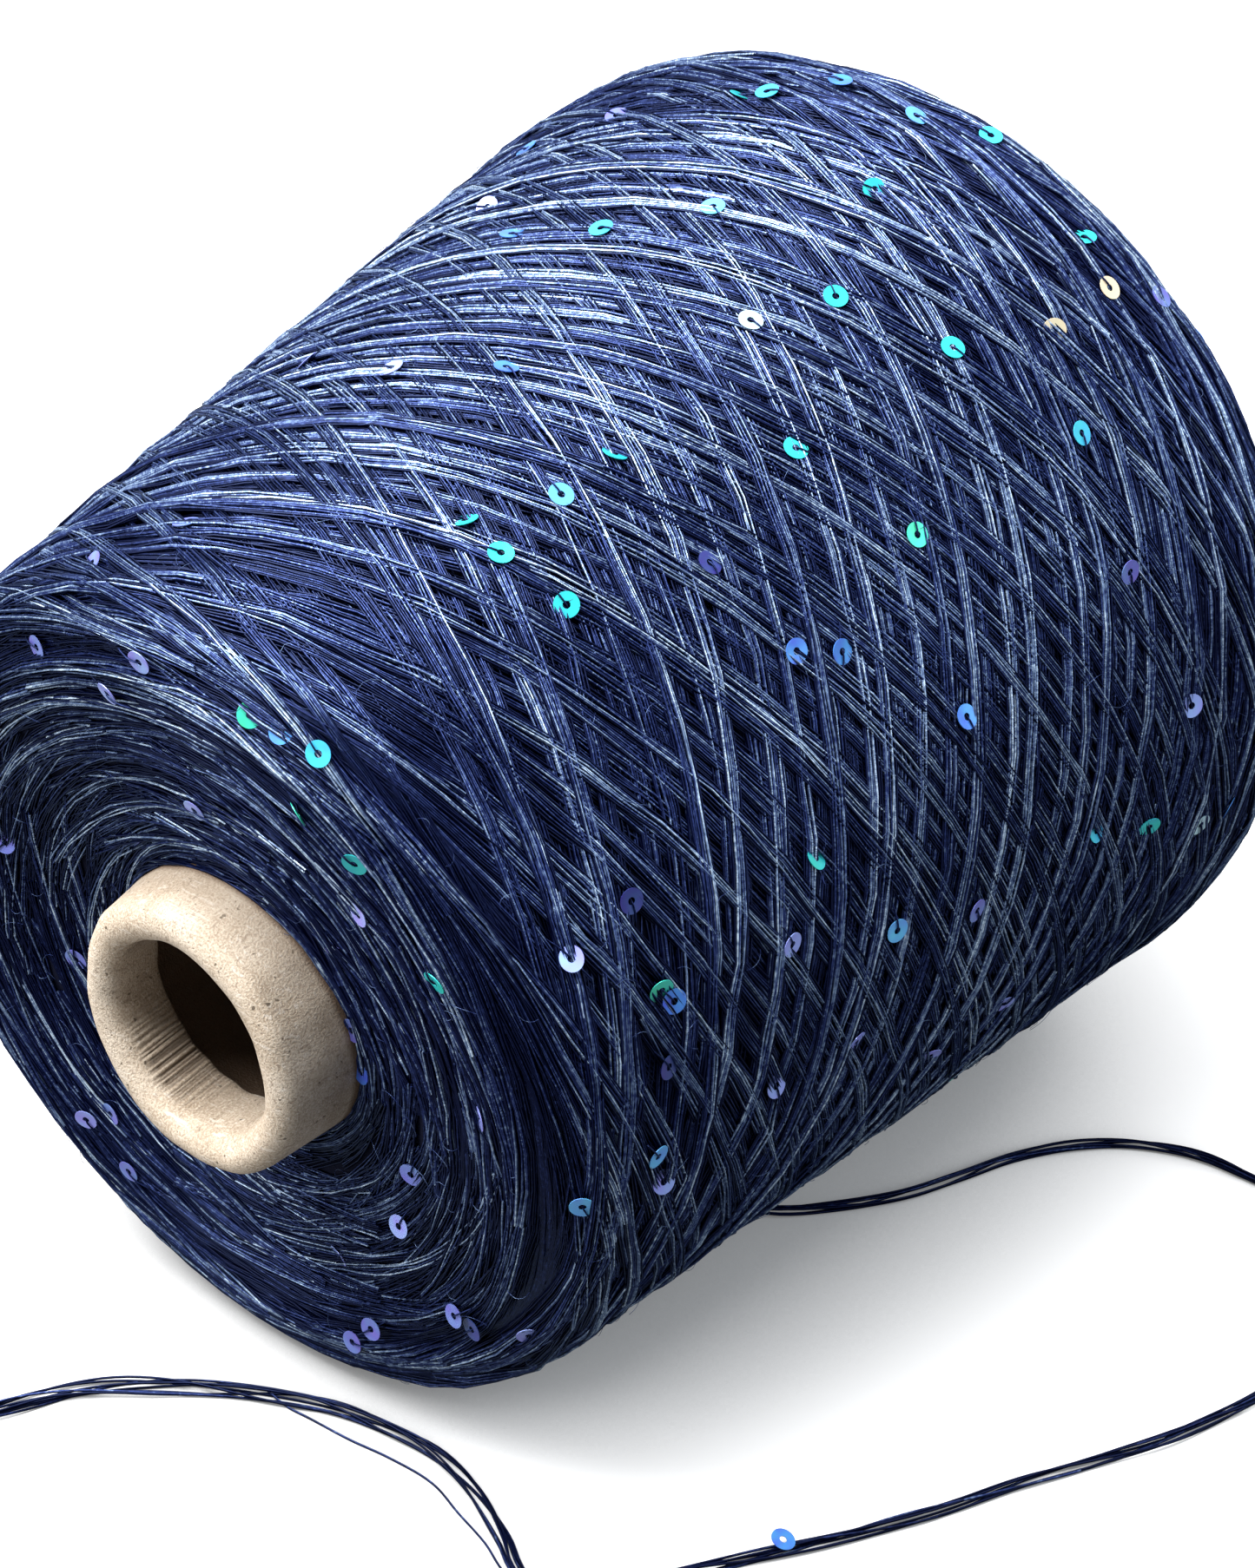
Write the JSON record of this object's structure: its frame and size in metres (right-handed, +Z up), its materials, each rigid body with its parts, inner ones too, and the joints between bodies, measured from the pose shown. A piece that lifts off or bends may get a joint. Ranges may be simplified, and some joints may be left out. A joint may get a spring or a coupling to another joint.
{
  "type": "cone of knitting yarn",
  "caption": "Cross-wound package of multi-strand yarn with sequins on a paper cone with a rolled nose, lying on its side with a loose tail of yarn.",
  "frame": {"origin": "on the surface, under the middle of the cone lying on its side", "axes": "+Z up; +X runs along the surface under the package, from the nose to the base; the cone's own axis rises towards +X by the cone's angle"},
  "size_m": [0.1884, 0.1666, 0.1335],
  "materials": {
    "cone_board": "matte",
    "yarn": "matte",
    "sequin_blue": "gloss",
    "sequin_lilac": "gloss"
  },
  "bodies": {
    "root": {"paper_cone": "cone_board", "yarn_core": "yarn", "yarn_winding": "yarn", "sequins_side": "sequin_blue", "sequins_front": "sequin_lilac", "sequins_back": "sequin_blue", "yarn_tail": "yarn", "tail_sequin": "sequin_blue"}
  },
  "joints": []
}
